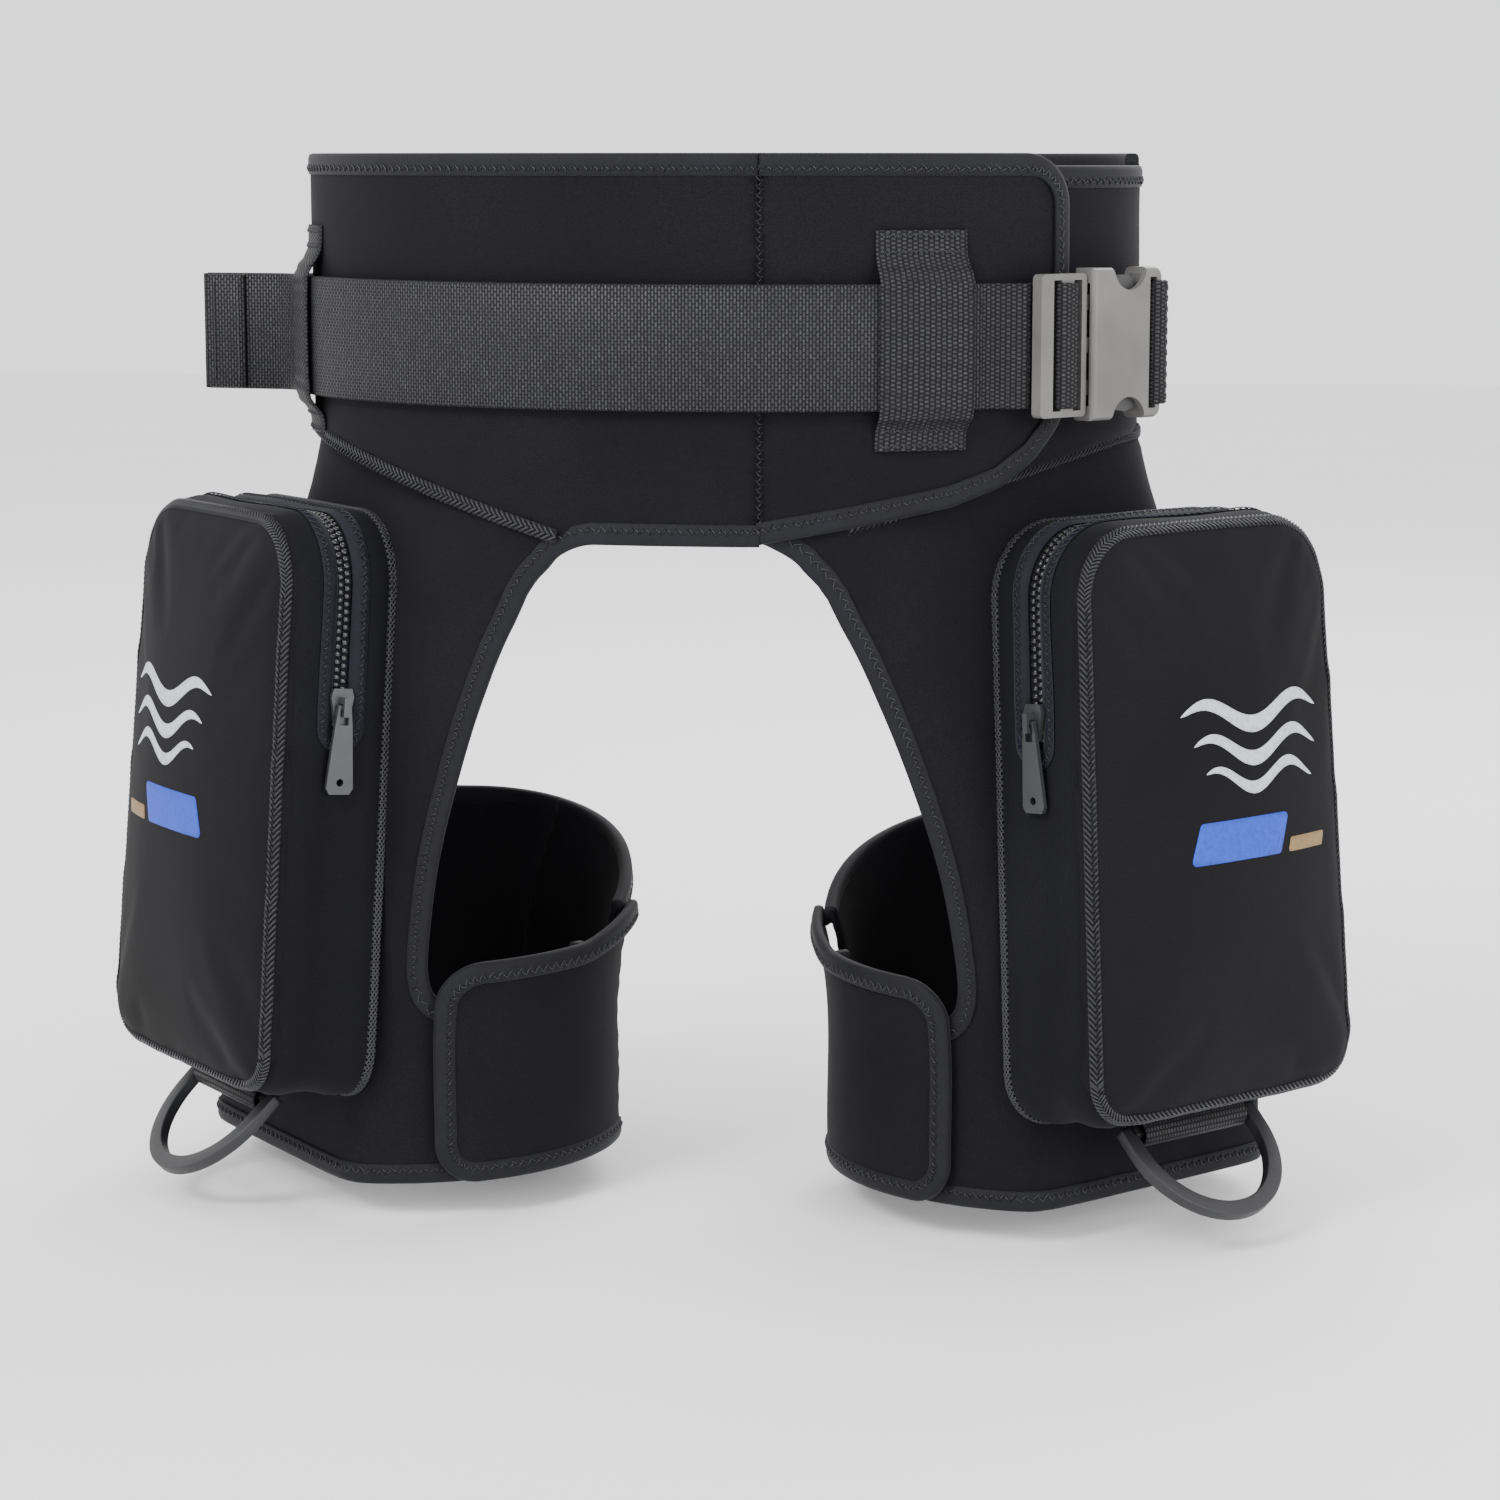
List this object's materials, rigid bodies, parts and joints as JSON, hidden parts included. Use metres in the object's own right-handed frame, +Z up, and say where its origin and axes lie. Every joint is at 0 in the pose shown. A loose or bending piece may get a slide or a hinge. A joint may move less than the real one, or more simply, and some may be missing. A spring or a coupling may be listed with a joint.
{
  "type": "dive weight belt",
  "caption": "Diver's neoprene hip belt with side-release buckled webbing, zipped thigh pockets, D-rings and hook-and-loop leg bands.",
  "frame": {"origin": "centre of the waist opening, at the height of the webbing's centre line", "axes": "+Z up, -Y to the front (buckle side), +X to the wearer's left and the viewer's right"},
  "size_m": [0.5482, 0.2511, 0.4335],
  "materials": {
    "neoprene": "nylon-faced black neoprene, fine knit",
    "pocket_neoprene": "padded nylon-faced neoprene with a printed emblem",
    "stretch_binding": "folded stretch tape with zig-zag stitching",
    "webbing": "woven polyester webbing, 2 inch",
    "buckle_plastic": "satin moulded acetal",
    "zip_tape": "woven tape",
    "zip_teeth": "moulded plastic teeth",
    "zip_metal": "dark painted zinc",
    "d_ring_plastic": "satin moulded plastic",
    "hook_tape": "hook tape",
    "loop_tape": "loop pile tape"
  },
  "bodies": {
    "wrap": {"back_top_binding": "stretch_binding", "belt_loop_back_left": "webbing", "belt_loop_back_right": "webbing", "belt_loop_front_left": "webbing", "belt_loop_front_right": "webbing", "buckle_female": "buckle_plastic", "flap_end_binding": "stretch_binding", "flap_hem_binding": "stretch_binding", "flap_hook_patch": "hook_tape", "flap_top_binding": "stretch_binding", "left_arch_binding": "stretch_binding", "left_d_ring_webbing": "webbing", "left_leg_loop_patch": "loop_tape", "left_leg_strap": "neoprene", "left_pocket_face": "pocket_neoprene", "left_pocket_gusset": "neoprene", "left_thigh_panel": "neoprene", "left_zip_end_stops": "zip_teeth", "left_zip_tape": "zip_tape", "left_zip_teeth": "zip_teeth", "right_arch_binding": "stretch_binding", "right_d_ring_webbing": "webbing", "right_leg_loop_patch": "loop_tape", "right_leg_strap": "neoprene", "right_pocket_face": "pocket_neoprene", "right_pocket_gusset": "neoprene", "right_thigh_panel": "neoprene", "right_zip_end_stops": "zip_teeth", "right_zip_tape": "zip_tape", "right_zip_teeth": "zip_teeth", "under_loop_patch": "loop_tape", "waist_back_panel": "neoprene", "waist_flap": "neoprene", "waist_left_panel": "neoprene", "waist_under_panel": "neoprene", "webbing_back_strand": "webbing", "webbing_female_end": "webbing", "webbing_front_strand": "webbing", "webbing_tail_end": "webbing", "webbing_tail_strand": "webbing"},
    "buckle_male": {"buckle_male": "buckle_plastic", "webbing_male_end": "webbing"},
    "prong_upper": {"buckle_prong_upper": "buckle_plastic"},
    "prong_lower": {"buckle_prong_lower": "buckle_plastic"},
    "right_slider": {"right_zip_slider": "zip_metal"},
    "right_pull": {"right_zip_pull": "zip_metal"},
    "right_d_ring": {"right_d_ring": "d_ring_plastic"},
    "right_leg_tab": {"right_leg_tab": "neoprene", "right_leg_hook_patch": "hook_tape"},
    "left_slider": {"left_zip_slider": "zip_metal"},
    "left_pull": {"left_zip_pull": "zip_metal"},
    "left_d_ring": {"left_d_ring": "d_ring_plastic"},
    "left_leg_tab": {"left_leg_tab": "neoprene", "left_leg_hook_patch": "hook_tape"}
  },
  "joints": [
    {"name": "buckle_release", "type": "slide", "parent": "wrap", "child": "buckle_male", "axis": [-0.6407, -0.7678, 0], "range_m": [0, 0.03], "deforming": ["webbing_male_end", "buckle_prong_upper", "buckle_prong_lower"]},
    {"name": "prong_upper_squeeze", "type": "hinge", "parent": "buckle_male", "child": "prong_upper", "pos_m": [0.1588, -0.0747, 0.017], "axis": [-0.7678, 0.6407, 0], "range_deg": [0, 6], "stiffness_Nm_per_rad": 0.6},
    {"name": "prong_lower_squeeze", "type": "hinge", "parent": "buckle_male", "child": "prong_lower", "pos_m": [0.1588, -0.0747, -0.017], "axis": [0.7678, -0.6407, 0], "range_deg": [0, 6], "stiffness_Nm_per_rad": 0.6},
    {"name": "right_zip_slide", "type": "slide", "parent": "wrap", "child": "right_slider", "axis": [-0.0457, 0.0794, 0.9958], "range_m": [0, 0.034]},
    {"name": "right_pull_swing", "type": "hinge", "parent": "right_slider", "child": "right_pull", "pos_m": [0.14156, -0.10129, -0.15008], "axis": [-0.7403, 0.6666, -0.0872], "range_deg": [0, 115]},
    {"name": "right_d_ring_swing", "type": "hinge", "parent": "wrap", "child": "right_d_ring", "pos_m": [0.20589, -0.05482, -0.32393], "axis": [-0.6691, -0.7431, 0], "range_deg": [-35, 40]},
    {"name": "right_leg_tab_peel", "type": "hinge", "parent": "wrap", "child": "right_leg_tab", "pos_m": [0.0492, 0, -0.31], "axis": [0, 0, -1], "range_deg": [0, 50]},
    {"name": "left_zip_slide", "type": "slide", "parent": "wrap", "child": "left_slider", "axis": [0.0457, 0.0794, 0.9958], "range_m": [0, 0.034]},
    {"name": "left_pull_swing", "type": "hinge", "parent": "left_slider", "child": "left_pull", "pos_m": [-0.14156, -0.10129, -0.15008], "axis": [-0.7403, -0.6666, 0.0872], "range_deg": [0, 115]},
    {"name": "left_d_ring_swing", "type": "hinge", "parent": "wrap", "child": "left_d_ring", "pos_m": [-0.20589, -0.05482, -0.32393], "axis": [-0.6691, 0.7431, 0], "range_deg": [-35, 40]},
    {"name": "left_leg_tab_peel", "type": "hinge", "parent": "wrap", "child": "left_leg_tab", "pos_m": [-0.0492, 0, -0.31], "axis": [0, 0, 1], "range_deg": [0, 50]}
  ],
  "couplings": [
    {"joint": "prong_lower_squeeze", "follows": "prong_upper_squeeze", "ratio": 1}
  ]
}
